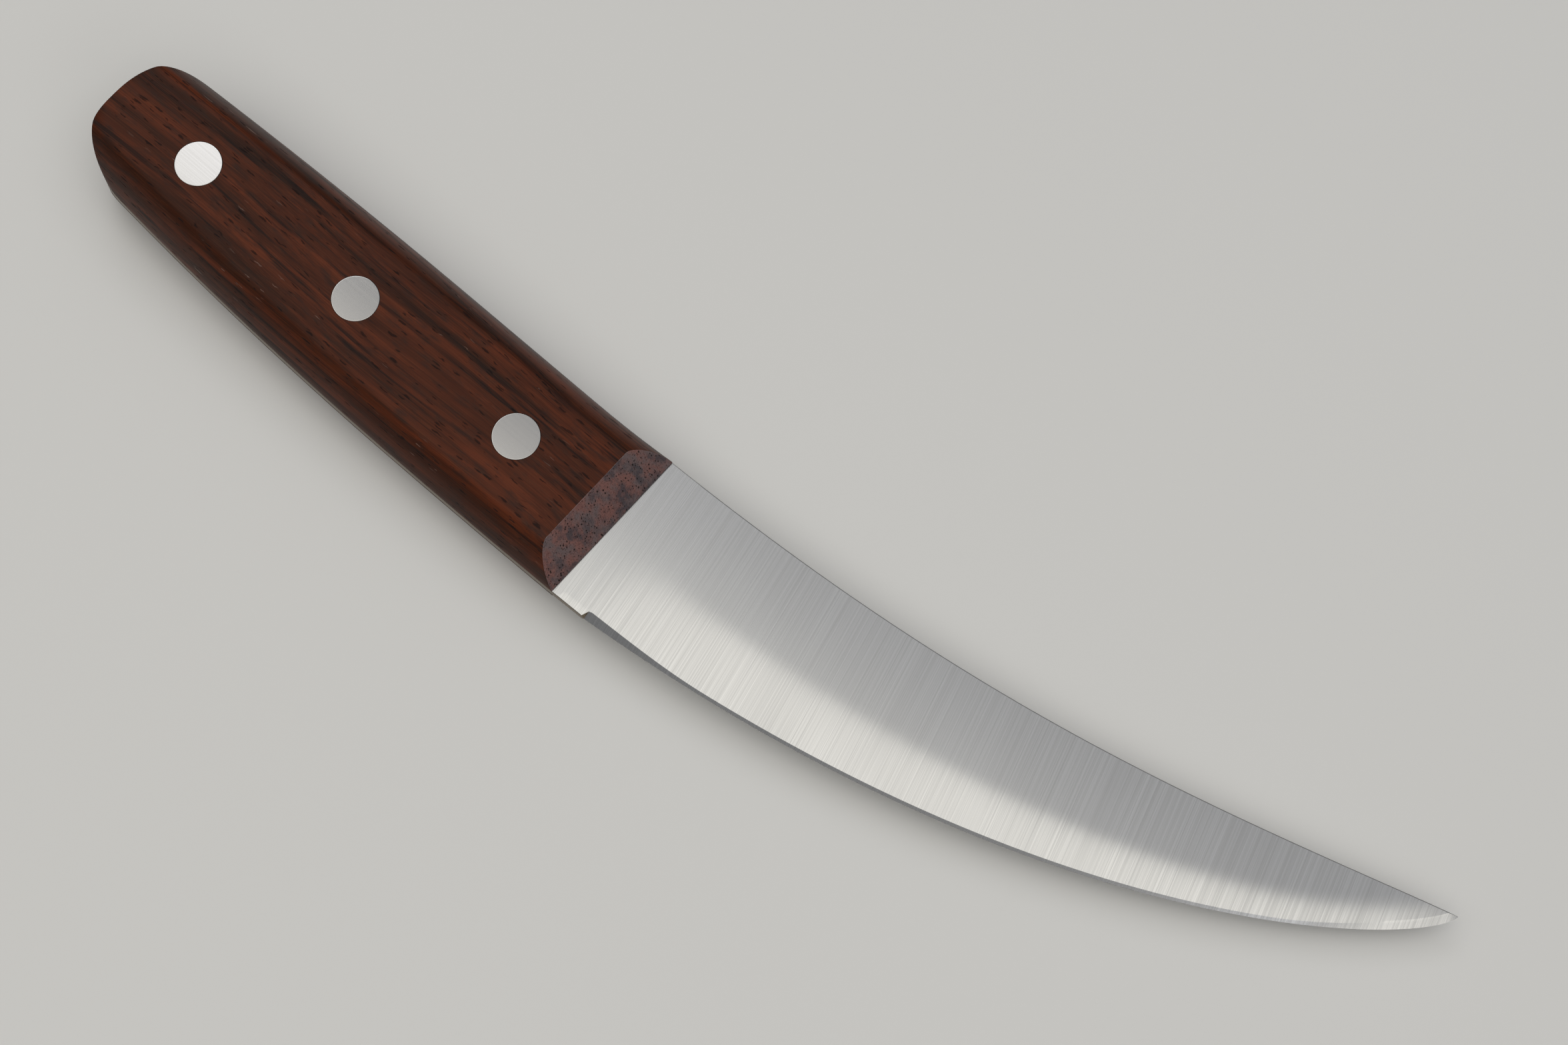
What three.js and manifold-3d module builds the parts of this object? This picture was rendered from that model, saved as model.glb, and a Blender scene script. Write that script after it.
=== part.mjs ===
// Boning knife: a curved blade in one piece with its full tang, two wooden scales, and three
// two-part rivets that clamp the scales to the tang.
//
// Millimetres. The knife is drawn in a frame of its own: x runs from the butt to the point,
// y towards the spine and z out of the upper cheek of the blade. Its origin is on the middle
// plane of the steel, on the line of the rivets, where the handle ends and the blade begins.
// The handle is thicker at the butt, so the finished knife is turned by half that taper and
// lies flat on its lower scale, with the table at z = 0 and the origin under its middle.
import * as THREE from 'three';
import { mergeVertices } from 'three/addons/utils/BufferGeometryUtils.js';
import Module from 'manifold-3d';

// Blade
const STEEL_THICKNESS = 2.0;
const POINT_THICKNESS = 1.0;
const POINT = new THREE.Vector2(144.2, 41.35);
const SPINE_START = new THREE.Vector2(0, 15.2);
const CHOIL_START = new THREE.Vector2(0, -14.35);
const HEEL = new THREE.Vector2(6.4, -14.15);
// Half the thickness behind the bevel, along the blade and at the point, and the shares of the
// blade's length where it starts to thin further and where the bevel starts to widen.
const BEHIND_EDGE = 0.32;
const BEHIND_POINT = 0.3;
const POINT_GRIND_FROM = 0.75;
const BEVEL_SWEEP_FROM = 0.85;
const BEVEL_SWEEP = 1.0;
const BEVEL_RUN_IN = 0.6;
const BEVEL_SLOPE = 1.6;
const BEVEL_MOST = 0.9;
const GRIND_LENGTH = 30;
const GRIND_HEIGHT = 14;
const GRIND_HEIGHT_AT_POINT = 4;
const EDGE_THICKNESS = 0.1;
const POINT_HEIGHT = 0.2;
const POINT_LEAN = new THREE.Vector2(-0.25, 1);

// Handle
const HANDLE_LENGTH = 111.8;
const HANDLE_DEPTH = 14.6;
const HANDLE_HALF_THICKNESS = 7.8;
const THICKNESS_SLOPE = 0.022;
const BOND_GAP = 0.05;
const CHAMFER_RUN = 5.1;
const CHAMFER_STEP = 0.3;
const SHOULDER_WIDTH = 4.6;
const SHOULDER_FOOT = 1.3;
// The shoulder's control point, as shares of its width and of the outer face's height.
const SHOULDER_PULL = new THREE.Vector2(0.3, 0.77);
const BUTT_ROUND = 10;
const BUTT_SQUARENESS_SPINE = 2.3;
const BUTT_SQUARENESS_EDGE = 3.2;
// Each side is drawn in towards the butt and flares slightly where it meets the blade.
const SPINE_SIDE = { drawnIn: 1.5, drawnFrom: -45, drawnOver: 62, flareFrom: -16 };
const EDGE_SIDE = { drawnIn: 3.0, drawnFrom: -35, drawnOver: 68, flareFrom: -30 };

// Rivets
const RIVET_FRONT = 20.4;
const RIVET_PITCH = 36.0;
const RIVET_COUNT = 3;
const HEAD_RADIUS = 4.0;
const HEAD_DEPTH = 3.5;
const BARREL_RADIUS = 2.6;
const PIN_RADIUS = 1.6;
const PIN_SHORTER = 0.5;
const FILED_OFF = 2;
const RIVET_GAP = 0.1;
const RIVET_SIDES = 40;

// Longer than anything in the knife, for cutters.
const REACH = 40;

const HALF_STEEL = STEEL_THICKNESS / 2;
const SCALE_INNER = HALF_STEEL + BOND_GAP;

const steelLook = { color: 0xb9b7b3, roughness: 0.34, metalness: 1.0 };
const woodLook = { color: 0x3d2318, roughness: 0.42, metalness: 0.0 };
const rivetLook = { color: 0xc9c6c0, roughness: 0.3, metalness: 1.0 };

const { clamp, lerp, smoothstep } = THREE.MathUtils;

const wasm = await Module();
wasm.setup();

// Solids ---------------------------------------------------------------------------------

function toSolid(geometry) {
  const bare = geometry.clone();
  bare.deleteAttribute('normal');
  bare.deleteAttribute('uv');
  const merged = mergeVertices(bare, 1e-5);
  return new wasm.Manifold(new wasm.Mesh({
    numProp: 3,
    vertProperties: Float32Array.from(merged.attributes.position.array),
    triVerts: Uint32Array.from(merged.index.array),
  }));
}

function toMesh(name, solid, look) {
  const { vertProperties, triVerts } = solid.getMesh();
  const geometry = new THREE.BufferGeometry();
  geometry.setAttribute('position', new THREE.BufferAttribute(vertProperties, 3));
  geometry.setIndex(new THREE.BufferAttribute(triVerts, 1));
  geometry.computeVertexNormals();
  const mesh = new THREE.Mesh(geometry, new THREE.MeshStandardMaterial(look));
  mesh.name = name;
  return mesh;
}

// A box whose grid of corners is moved to where place(along, across, side) says: along and
// across count the grid's lines from 0, and side is -1 on its lower face and 1 on its upper.
function shapedBox(alongSteps, acrossSteps, place) {
  const geometry = new THREE.BoxGeometry(1, 1, 1, alongSteps, acrossSteps, 1);
  const position = geometry.attributes.position;
  for (let i = 0; i < position.count; i += 1) {
    const along = Math.round((position.getX(i) + 0.5) * alongSteps);
    const across = Math.round((position.getY(i) + 0.5) * acrossSteps);
    const point = place(along, across, Math.sign(position.getZ(i)));
    position.setXYZ(i, point.x, point.y, point.z);
  }
  return toSolid(geometry);
}

// An outline in x and y, from z0 up to z1.
function plate(points, z0, z1) {
  const geometry = new THREE.ExtrudeGeometry(new THREE.Shape(points), {
    depth: z1 - z0,
    bevelEnabled: false,
  });
  geometry.translate(0, 0, z0);
  return toSolid(geometry);
}

// An outline in x and z, as wide in y as anything in the knife.
function crossCutter(points) {
  const geometry = new THREE.ExtrudeGeometry(new THREE.Shape(points), {
    depth: 2 * REACH,
    bevelEnabled: false,
  });
  geometry.rotateX(Math.PI / 2);
  geometry.translate(0, REACH, 0);
  return toSolid(geometry);
}

// A turned piece on the rivet's axis at x, from its profile of (radius, z) points.
function turned(x, profile) {
  const geometry = new THREE.LatheGeometry(profile, RIVET_SIDES);
  geometry.rotateX(Math.PI / 2);
  geometry.translate(x, 0, 0);
  return toSolid(geometry);
}

// Handle outline and thickness -----------------------------------------------------------

function sideDepth(x, side, depthAtBlade) {
  const drawn = side.drawnIn * Math.max(0, (side.drawnFrom - x) / side.drawnOver) ** 2;
  const flare = (depthAtBlade - HANDLE_DEPTH) * Math.max(0, 1 - x / side.flareFrom) ** 2;
  return HANDLE_DEPTH - drawn + flare;
}

const spineSide = (x) => sideDepth(x, SPINE_SIDE, SPINE_START.y);
const edgeSide = (x) => -sideDepth(x, EDGE_SIDE, -CHOIL_START.y);
const outerFace = (x) => HANDLE_HALF_THICKNESS - THICKNESS_SLOPE * x;

// The sawn outline, the same for the tang and both scales. The butt is closed by a quarter
// of a superellipse on each side, squarer at the edge than at the spine.
function handleOutline() {
  const sideSteps = 14;
  const buttSteps = 9;
  const roundStart = BUTT_ROUND - HANDLE_LENGTH;
  const points = [];
  for (let i = 0; i <= sideSteps; i += 1) {
    const x = roundStart * (i / sideSteps);
    points.push(new THREE.Vector2(x, spineSide(x)));
  }
  const addButtPoint = (turn, side, squareness) => {
    const x = roundStart - BUTT_ROUND * Math.sin(turn);
    const depth = Math.cos(turn) ** (2 / squareness);
    points.push(new THREE.Vector2(x, side(x) * depth));
  };
  for (let i = 1; i < buttSteps; i += 1) {
    addButtPoint((Math.PI / 2) * (i / buttSteps), spineSide, BUTT_SQUARENESS_SPINE);
  }
  points.push(new THREE.Vector2(-HANDLE_LENGTH, 0));
  for (let i = buttSteps - 1; i > 0; i -= 1) {
    addButtPoint((Math.PI / 2) * (i / buttSteps), edgeSide, BUTT_SQUARENESS_EDGE);
  }
  for (let i = sideSteps; i >= 0; i -= 1) {
    const x = roundStart * (i / sideSteps);
    points.push(new THREE.Vector2(x, edgeSide(x)));
  }
  return points.reverse();
}

// Blade and tang -------------------------------------------------------------------------

const spineCurve = new THREE.CubicBezierCurve(
  SPINE_START, new THREE.Vector2(67.5, 17.1), new THREE.Vector2(101.5, 28.6), POINT,
);
const edgeCurve = new THREE.CubicBezierCurve(
  HEEL, new THREE.Vector2(101.2, -5.4), new THREE.Vector2(143.7, 34.9), POINT,
);

// Half the thickness at the edge bevel's upper line, before the bevel is ground.
function behindEdge(x) {
  const ground = smoothstep(x, 0, GRIND_LENGTH);
  const towardsPoint = smoothstep(x, POINT.x * POINT_GRIND_FROM, POINT.x);
  return lerp(HALF_STEEL, lerp(BEHIND_EDGE, BEHIND_POINT, towardsPoint), ground);
}

// Half the thickness at a height above that line: the cheeks swell from the bevel and are
// flat above the grind, and the whole blade thins towards the point.
function cheek(x, height) {
  const spine = lerp(HALF_STEEL, POINT_THICKNESS / 2, clamp(x / POINT.x, 0, 1));
  const low = Math.min(spine, behindEdge(x));
  const grind = lerp(GRIND_HEIGHT, GRIND_HEIGHT_AT_POINT, clamp(x / POINT.x, 0, 1));
  return lerp(low, spine, Math.sin((Math.PI / 2) * clamp(height / grind, 0, 1)));
}

// How deep the edge bevel is where the blade is so deep in all.
function bevelDepth(x, depth) {
  const sweep = smoothstep(x, POINT.x * BEVEL_SWEEP_FROM, POINT.x) * BEVEL_SWEEP;
  return Math.min(behindEdge(x) * BEVEL_SLOPE + sweep, depth * BEVEL_MOST);
}

function bladeSolid() {
  const startSteps = 3;
  const alongSteps = 30;
  const acrossSteps = 9;
  const start = -2;
  const crowding = 1.4;
  const curvedSteps = alongSteps - startSteps;
  const spineShare = (x) => x / spineCurve.getLength();
  // Each line of the grid runs from the bottom of the blade to its spine.
  const lineEnds = (along) => {
    if (along === 0) {
      return [new THREE.Vector2(start, edgeSide(start)), new THREE.Vector2(start, spineSide(start))];
    }
    if (along === 1) {
      return [CHOIL_START, SPINE_START];
    }
    if (along === 2) {
      const choilEnd = CHOIL_START.clone().lerp(HEEL, 1 - BEVEL_RUN_IN / HEEL.x);
      return [choilEnd, spineCurve.getPointAt(spineShare(choilEnd.x))];
    }
    const share = 1 - (1 - (along - startSteps) / curvedSteps) ** crowding;
    const top = lerp(spineShare(HEEL.x), 1, share);
    return [edgeCurve.getPointAt(share), spineCurve.getPointAt(top)];
  };
  return shapedBox(alongSteps, acrossSteps, (along, across, side) => {
    const [bottom, top] = lineEnds(along);
    const depth = Math.max(bottom.distanceTo(top), POINT_HEIGHT);
    const bevelled = along >= startSteps;
    const bevel = bevelDepth(bottom.x, depth);
    const height = across === 0 ? 0 : lerp(bevel, depth, (across - 1) / (acrossSteps - 1));
    const atPoint = bottom.distanceTo(top) < POINT_HEIGHT;
    const direction = (atPoint ? POINT_LEAN.clone() : top.clone().sub(bottom)).normalize();
    const point = bottom.clone().addScaledVector(direction, height);
    const half = across === 0 && bevelled ? EDGE_THICKNESS / 2 : cheek(point.x, height - bevel);
    return { x: point.x, y: point.y, z: side * half };
  });
}

// Scales ---------------------------------------------------------------------------------

// The scale before it is sawn to the outline: a flat outer face between two rounded
// shoulders, growing thicker towards the butt.
function scaleBlank() {
  const alongSteps = 12;
  const shoulderSteps = 5;
  const flatSteps = 4;
  const acrossSteps = 2 * shoulderSteps + flatSteps;
  const spare = 0.05;
  const front = 2;
  const length = HANDLE_LENGTH + 2 * front;
  return shapedBox(alongSteps, acrossSteps, (along, across, side) => {
    const x = front - length * (1 - along / alongSteps);
    const towardsSpine = across * 2 > acrossSteps;
    const fromSide = Math.min(across, acrossSteps - across);
    const limit = (towardsSpine ? spineSide(x) : edgeSide(x)) + (towardsSpine ? spare : -spare);
    const inwards = towardsSpine ? -1 : 1;
    const face = outerFace(x);
    if (fromSide > shoulderSteps) {
      const edgeLimit = edgeSide(x) - spare + SHOULDER_WIDTH;
      const spineLimit = spineSide(x) + spare - SHOULDER_WIDTH;
      const y = lerp(edgeLimit, spineLimit, (across - shoulderSteps) / flatSteps);
      return { x, y, z: side > 0 ? face : SCALE_INNER };
    }
    const shoulder = new THREE.QuadraticBezierCurve(
      new THREE.Vector2(0, SHOULDER_FOOT),
      new THREE.Vector2(SHOULDER_WIDTH * SHOULDER_PULL.x, face * SHOULDER_PULL.y),
      new THREE.Vector2(SHOULDER_WIDTH, face),
    ).getPoint(fromSide / shoulderSteps);
    return { x, y: limit + inwards * shoulder.x, z: side > 0 ? shoulder.y : SCALE_INNER };
  });
}

function chamferCutter() {
  const foot = SCALE_INNER + CHAMFER_STEP;
  const face = outerFace(-CHAMFER_RUN);
  const slope = CHAMFER_RUN / (face - foot);
  return crossCutter([
    new THREE.Vector2(0, foot),
    new THREE.Vector2(REACH, foot),
    new THREE.Vector2(REACH, foot + REACH),
    new THREE.Vector2(-slope * REACH, foot + REACH),
  ]);
}

const rivetPlaces = Array.from({ length: RIVET_COUNT }, (_, i) => -RIVET_FRONT - i * RIVET_PITCH);
const headUnderside = (x) => outerFace(x + HEAD_RADIUS) - HEAD_DEPTH;

function rivetHole(x) {
  const head = HEAD_RADIUS + RIVET_GAP;
  const barrel = BARREL_RADIUS + RIVET_GAP;
  const shelf = headUnderside(x) - RIVET_GAP;
  return turned(x, [
    new THREE.Vector2(0, -REACH),
    new THREE.Vector2(barrel, -REACH),
    new THREE.Vector2(barrel, shelf),
    new THREE.Vector2(head, shelf),
    new THREE.Vector2(head, REACH),
    new THREE.Vector2(0, REACH),
  ]);
}

function scaleSolid() {
  let scale = scaleBlank().intersect(plate(handleOutline(), 0, REACH)).subtract(chamferCutter());
  rivetPlaces.forEach((x) => {
    scale = scale.subtract(rivetHole(x));
  });
  return scale;
}

// Rivets ---------------------------------------------------------------------------------

// What is filed off a rivet head so that it is flush with the scale.
function flushCutter() {
  const back = -HANDLE_LENGTH - REACH;
  return crossCutter([
    new THREE.Vector2(back, outerFace(back)),
    new THREE.Vector2(REACH, outerFace(REACH)),
    new THREE.Vector2(REACH, REACH),
    new THREE.Vector2(back, REACH),
  ]);
}

// The hollow half: its head is in one scale and its barrel reaches into the other.
function rivetBarrel(x) {
  const shelf = headUnderside(x);
  const top = shelf + HEAD_DEPTH + FILED_OFF;
  const bore = PIN_RADIUS + RIVET_GAP;
  const end = RIVET_GAP - shelf;
  return turned(x, [
    new THREE.Vector2(0, shelf),
    new THREE.Vector2(bore, shelf),
    new THREE.Vector2(bore, end),
    new THREE.Vector2(BARREL_RADIUS, end),
    new THREE.Vector2(BARREL_RADIUS, shelf),
    new THREE.Vector2(HEAD_RADIUS, shelf),
    new THREE.Vector2(HEAD_RADIUS, top),
    new THREE.Vector2(0, top),
  ]).subtract(flushCutter());
}

// The solid half: its pin fills the other one's bore.
function rivetPin(x) {
  const shelf = headUnderside(x);
  const end = PIN_SHORTER - shelf;
  const top = shelf + HEAD_DEPTH + FILED_OFF;
  return turned(x, [
    new THREE.Vector2(0, end),
    new THREE.Vector2(PIN_RADIUS, end),
    new THREE.Vector2(PIN_RADIUS, shelf),
    new THREE.Vector2(HEAD_RADIUS, shelf),
    new THREE.Vector2(HEAD_RADIUS, top),
    new THREE.Vector2(0, top),
  ]).subtract(flushCutter());
}

// Assembly -------------------------------------------------------------------------------

// The same piece on the other side of the steel.
function mirrored(mesh, name) {
  const geometry = mesh.geometry.clone().scale(1, 1, -1);
  const index = geometry.index.array;
  for (let i = 0; i < index.length; i += 3) {
    [index[i], index[i + 1]] = [index[i + 1], index[i]];
  }
  geometry.computeVertexNormals();
  const copy = new THREE.Mesh(geometry, mesh.material.clone());
  copy.name = name;
  return copy;
}

const knife = new THREE.Group();

let steel = plate(handleOutline(), -HALF_STEEL, HALF_STEEL).add(bladeSolid());
rivetPlaces.forEach((x) => {
  const hole = BARREL_RADIUS + RIVET_GAP;
  steel = steel.subtract(turned(x, [
    new THREE.Vector2(0, -REACH),
    new THREE.Vector2(hole, -REACH),
    new THREE.Vector2(hole, REACH),
    new THREE.Vector2(0, REACH),
  ]));
});
knife.add(toMesh('blade_and_tang', steel, steelLook));

const upperScale = toMesh('upper_scale', scaleSolid(), woodLook);
knife.add(upperScale, mirrored(upperScale, 'lower_scale'));

['front', 'middle', 'butt'].forEach((place, i) => {
  knife.add(toMesh(`${place}_rivet_barrel`, rivetBarrel(rivetPlaces[i]), rivetLook));
  const pin = toMesh('pin', rivetPin(rivetPlaces[i]), rivetLook);
  knife.add(mirrored(pin, `${place}_rivet_pin`));
});

const taper = Math.atan(THICKNESS_SLOPE);
knife.rotation.y = taper;
knife.position.z = HANDLE_HALF_THICKNESS * Math.cos(taper);
const middle = new THREE.Box3().setFromObject(knife, true).getCenter(new THREE.Vector3());
knife.position.x = -middle.x;
knife.position.y = -middle.y;

export default knife;
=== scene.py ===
import math

import bmesh
import bpy
import numpy as np
from mathutils import Matrix, Vector


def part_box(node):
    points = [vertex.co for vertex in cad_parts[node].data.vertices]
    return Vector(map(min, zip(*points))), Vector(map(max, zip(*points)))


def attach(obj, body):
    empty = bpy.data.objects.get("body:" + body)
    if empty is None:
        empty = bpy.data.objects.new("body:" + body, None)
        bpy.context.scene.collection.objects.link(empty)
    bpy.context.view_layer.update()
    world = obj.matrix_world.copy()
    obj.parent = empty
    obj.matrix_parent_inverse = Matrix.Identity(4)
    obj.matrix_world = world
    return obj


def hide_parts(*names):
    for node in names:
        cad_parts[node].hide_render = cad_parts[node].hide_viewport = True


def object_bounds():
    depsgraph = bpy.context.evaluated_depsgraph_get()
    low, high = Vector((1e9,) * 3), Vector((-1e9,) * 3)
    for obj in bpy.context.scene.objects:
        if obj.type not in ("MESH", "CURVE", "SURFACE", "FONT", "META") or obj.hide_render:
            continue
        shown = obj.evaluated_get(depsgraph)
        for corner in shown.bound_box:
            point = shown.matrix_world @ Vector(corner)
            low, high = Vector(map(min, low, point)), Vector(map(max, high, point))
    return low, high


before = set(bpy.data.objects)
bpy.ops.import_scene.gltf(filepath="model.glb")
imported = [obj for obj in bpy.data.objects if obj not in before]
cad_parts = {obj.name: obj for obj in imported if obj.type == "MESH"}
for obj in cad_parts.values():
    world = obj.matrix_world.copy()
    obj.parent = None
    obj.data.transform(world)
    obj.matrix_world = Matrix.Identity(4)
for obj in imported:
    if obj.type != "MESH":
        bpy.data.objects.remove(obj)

cad_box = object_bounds()
MM = 0.001

# Blade: half thicknesses, the curves of its spine and edge, and where its grind and bevel run
HALF_STEEL = 1.0
HALF_POINT = 0.5
POINT = (144.2, 41.35)
SPINE_START = (0.0, 15.2)
CHOIL_START = (0.0, -14.35)
HEEL = (6.4, -14.15)
SPINE_CURVE = (SPINE_START, (67.5, 17.1), (101.5, 28.6), POINT)
EDGE_CURVE = (HEEL, (101.2, -5.4), (143.7, 34.9), POINT)
BEHIND_EDGE = 0.32
BEHIND_POINT = 0.30
POINT_GRIND_FROM = 0.75
BEVEL_SWEEP_FROM = 0.85
BEVEL_SWEEP = 1.0
BEVEL_RUN_IN = 0.7
BEVEL_SLOPE = 1.6
BEVEL_MOST = 0.9
GRIND_LENGTH = 30.0
GRIND_HEIGHT = 14.0
GRIND_HEIGHT_AT_POINT = 4.0
EDGE_HALF = 0.02
EASED_EDGE = 0.16

# Handle
HANDLE_LENGTH = 111.8
HANDLE_DEPTH = 14.6
HANDLE_HALF_THICKNESS = 7.8
THICKNESS_SLOPE = 0.022
SCALE_INNER = 1.05
CHAMFER_RUN = 5.1
CHAMFER_FOOT = 1.35
SHOULDER_WIDTH = 4.6
SHOULDER_PULL = (0.3, 0.77)
SHOULDER_CREASE = 0.5
BUTT_ROUND = 10.0
BUTT_SQUARENESS_SPINE = 2.3
BUTT_SQUARENESS_EDGE = 3.2
SPINE_SIDE = {"drawn_in": 1.5, "drawn_from": -45.0, "drawn_over": 62.0, "flare_from": -16.0}
EDGE_SIDE = {"drawn_in": 3.0, "drawn_from": -35.0, "drawn_over": 68.0, "flare_from": -30.0}

# Rivets
RIVET_FRONT = 20.4
RIVET_PITCH = 36.0
RIVET_NAMES = ("front", "middle", "butt")
HEAD_RADIUS = 4.0
HEAD_DEPTH = 3.5
HEAD_RIM = 0.05
BARREL_RADIUS = 2.6
PIN_RADIUS = 1.6
RIVET_GAP = 0.06
PIN_SHORTER = 0.5
RIVET_SIDES = 96

TAPER = math.atan(THICKNESS_SLOPE)


def knife_to_part():
    """The matrix from the knife's frame in millimetres to the part's frame in metres."""
    lo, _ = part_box("blade_and_tang")
    x = lo.x + MM * (HANDLE_LENGTH * math.cos(TAPER) + HALF_STEEL * math.sin(TAPER))
    y = lo.y + MM * HANDLE_DEPTH
    z = MM * HANDLE_HALF_THICKNESS * math.cos(TAPER)
    return Matrix.Translation((x, y, z)) @ Matrix.Rotation(TAPER, 4, "Y") @ Matrix.Scale(MM, 4)


KNIFE = knife_to_part()


# Shapes of the knife ---------------------------------------------------------------------


def smoothstep(x, low, high):
    t = np.clip((np.asarray(x, float) - low) / (high - low), 0, 1)
    return t * t * (3 - 2 * t)


def lerp(a, b, t):
    return a + (b - a) * t


def bezier(points, t):
    """Points of a Bezier curve of any degree at the parameters t."""
    t = np.asarray(t, float)[..., None]
    points = [np.asarray(p, float) for p in points]
    while len(points) > 1:
        points = [lerp(a, b, t) for a, b in zip(points, points[1:])]
    return points[0]


def arc_lengths(points):
    steps = np.linalg.norm(np.diff(points, axis=0), axis=1)
    return np.concatenate([[0], np.cumsum(steps)])


def along(curve, shares):
    """Points of a Bezier curve at shares of its length."""
    t = np.linspace(0, 1, 1500)
    length = arc_lengths(bezier(curve, t))
    return bezier(curve, np.interp(np.asarray(shares) * length[-1], length, t))


def side_depth(x, side, depth_at_blade):
    """How far a side of the handle is from its axis: drawn in to the butt, flared at the blade."""
    drawn = side["drawn_in"] * np.maximum(0, (side["drawn_from"] - x) / side["drawn_over"]) ** 2
    flare = (depth_at_blade - HANDLE_DEPTH) * np.maximum(0, 1 - x / side["flare_from"]) ** 2
    return HANDLE_DEPTH - drawn + flare


def spine_side(x):
    return side_depth(x, SPINE_SIDE, SPINE_START[1])


def edge_side(x):
    return -side_depth(x, EDGE_SIDE, -CHOIL_START[1])


def outer_face(x):
    """How high a scale's outer face is above the middle plane: it grows towards the butt."""
    return HANDLE_HALF_THICKNESS - THICKNESS_SLOPE * x


def handle_side(side, squareness, count):
    """One side of the handle's outline from the blade to the middle of the butt."""
    round_start = BUTT_ROUND - HANDLE_LENGTH
    straight = np.linspace(0, round_start, 400)
    turn = np.linspace(0, math.pi / 2, 800)
    x = round_start - BUTT_ROUND * np.sin(turn)
    butt = np.stack([x, side(x) * np.cos(turn) ** (2 / squareness)], 1)
    dense = np.concatenate([np.stack([straight, side(straight)], 1), butt[1:]])
    length = arc_lengths(dense)
    places = np.linspace(0, length[-1], count)
    return np.stack([np.interp(places, length, dense[:, i]) for i in range(2)], 1)


def behind_edge(x):
    """Half the thickness at the edge bevel's upper line, before the bevel is ground."""
    ground = smoothstep(x, 0, GRIND_LENGTH)
    towards_point = smoothstep(x, POINT[0] * POINT_GRIND_FROM, POINT[0])
    return lerp(HALF_STEEL, lerp(BEHIND_EDGE, BEHIND_POINT, towards_point), ground)


def spine_half(x):
    return lerp(HALF_STEEL, HALF_POINT, np.clip(x / POINT[0], 0, 1))


def cheek(x, height):
    """Half the thickness at a height above the bevel: it swells, then is flat to the spine."""
    spine = spine_half(x)
    low = np.minimum(spine, behind_edge(x))
    grind = lerp(GRIND_HEIGHT, GRIND_HEIGHT_AT_POINT, np.clip(x / POINT[0], 0, 1))
    return lerp(low, spine, np.sin(math.pi / 2 * np.clip(height / grind, 0, 1)))


# Mesh helpers ----------------------------------------------------------------------------


def new_piece(name, points, faces):
    """A mesh object from points in the knife's frame."""
    mesh = bpy.data.meshes.new(name)
    mesh.from_pydata([tuple(p) for p in points], [], [tuple(f) for f in faces])
    mesh.validate()
    piece = bpy.data.objects.new(name, mesh)
    bpy.context.scene.collection.objects.link(piece)
    return piece


def apply_modifiers(piece):
    bpy.context.view_layer.update()
    evaluated = piece.evaluated_get(bpy.context.evaluated_depsgraph_get())
    mesh = bpy.data.meshes.new_from_object(evaluated)
    piece.modifiers.clear()
    piece.data = mesh


def cut_away(piece, cutter):
    """Takes the cutter's shape out of the piece and removes the cutter."""
    cut = piece.modifiers.new("cut", "BOOLEAN")
    cut.operation = "DIFFERENCE"
    cut.solver = "EXACT"
    cut.object = cutter
    apply_modifiers(piece)
    bpy.data.objects.remove(cutter)


def round_edges(piece, width, least_angle, segments=3):
    """Rounds the piece's edges that are sharper than an angle in degrees."""
    rounding = piece.modifiers.new("round", "BEVEL")
    rounding.limit_method = "ANGLE"
    rounding.angle_limit = math.radians(least_angle)
    rounding.width = width
    rounding.segments = segments
    apply_modifiers(piece)


def merge_doubles(piece, distance=1e-4):
    """Joins points that fall together, so that faces which have shrunk to nothing go away."""
    mesh = bmesh.new()
    mesh.from_mesh(piece.data)
    bmesh.ops.remove_doubles(mesh, verts=mesh.verts, dist=distance)
    bmesh.ops.dissolve_degenerate(mesh, edges=mesh.edges, dist=distance)
    mesh.to_mesh(piece.data)
    mesh.free()


def keep_under_face(piece):
    """Brings back the points that the rounding has lifted above the scale's outer face."""
    for vertex in piece.data.vertices:
        height = outer_face(vertex.co.x)
        vertex.co.z = min(max(vertex.co.z, -height), height)


def mirrored(points, faces):
    """The same shape on the other side of the steel."""
    return points * np.array([1, 1, -1]), [tuple(reversed(f)) for f in faces]


def rings_of_faces(count, rings, closed):
    """Quads between rings of points, each of the same count."""
    faces = []
    for ring in range(rings - 1):
        for i in range(count if closed else count - 1):
            j = (i + 1) % count
            a, b = ring * count, (ring + 1) * count
            faces.append((a + i, a + j, b + j, b + i))
    return faces


def turned(x, profile):
    """A closed turned shape on a rivet's axis, from (radius, height) pairs; a height may be a
    function of x. The profile starts and ends on the axis, from the bottom to the top."""
    angles = np.linspace(0, 2 * math.pi, RIVET_SIDES, endpoint=False)
    points, faces = [], []
    for radius, height in profile[1:-1]:
        px = x + radius * np.cos(angles)
        py = radius * np.sin(angles)
        pz = height(px) if callable(height) else np.full(RIVET_SIDES, float(height))
        points.append(np.stack([px, py, pz], 1))
    faces = rings_of_faces(RIVET_SIDES, len(points), True)
    points = np.concatenate(points)
    ends = []
    for _, height in (profile[0], profile[-1]):
        ends.append((x, 0.0, height(x) if callable(height) else height))
    bottom, top = len(points), len(points) + 1
    last = len(points) - RIVET_SIDES
    for i in range(RIVET_SIDES):
        j = (i + 1) % RIVET_SIDES
        faces.append((bottom, j, i))
        faces.append((top, last + i, last + j))
    return np.concatenate([points, ends]), faces


# Blade and tang --------------------------------------------------------------------------

TANG_LINES = 130
CHOIL_LINES = 14
BLADE_LINES = 190
BOTTOM_ROWS = 6
CHEEK_ROWS = 22
TOP_ROWS = 5
# The lines crowd together towards the point, and a little behind the heel. The last one is
# just short of the point, so that it isn't empty.
POINT_CROWDING = 1.25
HEEL_CROWDING = 1.15
LAST_SHARE = 0.9992


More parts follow.
